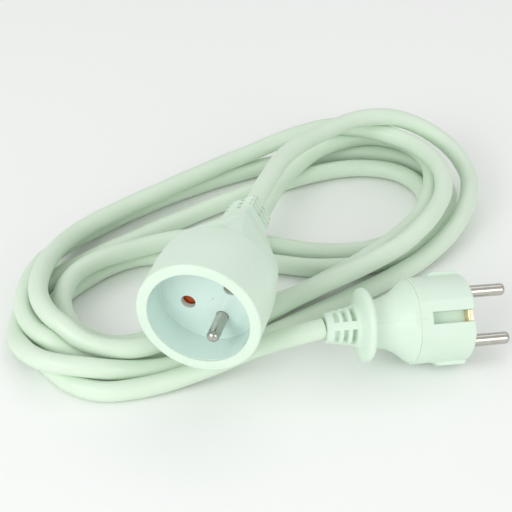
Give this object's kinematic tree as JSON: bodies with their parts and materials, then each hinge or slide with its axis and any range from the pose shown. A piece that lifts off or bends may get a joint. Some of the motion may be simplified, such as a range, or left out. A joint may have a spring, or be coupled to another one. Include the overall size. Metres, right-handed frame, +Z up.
{
  "type": "extension cord",
  "caption": "Household extension cord: white moulded coupler outlet with earth pin and red shutter, loosely looped round cord and two-pin earthed plug.",
  "frame": {"origin": "centre of the outlet's well floor", "axes": "-Y out of the well along its axis, +Z up from the surface that the cord lies on, +X to the right seen from the mouth"},
  "size_m": [0.1985, 0.2059, 0.0642],
  "materials": {
    "shell": "white moulded PVC, fine satin grain",
    "well": "white polished plastic, slightly bluish",
    "sheath": "white flexible PVC sheath, satin",
    "carrier": "grey moulded carrier",
    "shutter": "red moulded plastic",
    "steel": "bright steel",
    "nickel": "bright nickel plate",
    "brass": "bare brass",
    "clip": "pale plated brass strip",
    "live_core": "brown insulation",
    "neutral_core": "blue insulation",
    "earth_core": "green insulation with a yellow stripe"
  },
  "bodies": {
    "cord_set": {"socket_shell": "shell", "socket_insert": "well", "socket_carrier": "carrier", "shutter_pin": "steel", "shutter_spring": "steel", "socket_live_contact": "brass", "socket_neutral_contact": "brass", "socket_earth_pin": "nickel", "socket_sheath_end": "sheath", "socket_live_core": "live_core", "socket_neutral_core": "neutral_core", "socket_earth_core": "earth_core", "cord": "sheath", "plug_front": "shell", "plug_grip": "shell", "plug_live_pin": "nickel", "plug_neutral_pin": "nickel", "plug_earth_sleeve": "brass", "plug_near_clip": "clip", "plug_far_clip": "clip", "plug_sheath_end": "sheath", "plug_live_core": "live_core", "plug_neutral_core": "neutral_core", "plug_earth_core": "earth_core"},
    "shutter": {"shutter": "shutter"}
  },
  "joints": [
    {"name": "shutter_turn", "type": "hinge", "parent": "cord_set", "child": "shutter", "pos_m": [0, 0.0043, 0], "axis": [0, 1, 0], "range_deg": [0, 42], "stiffness_Nm_per_rad": 0.004, "springref_deg": -20.05}
  ]
}
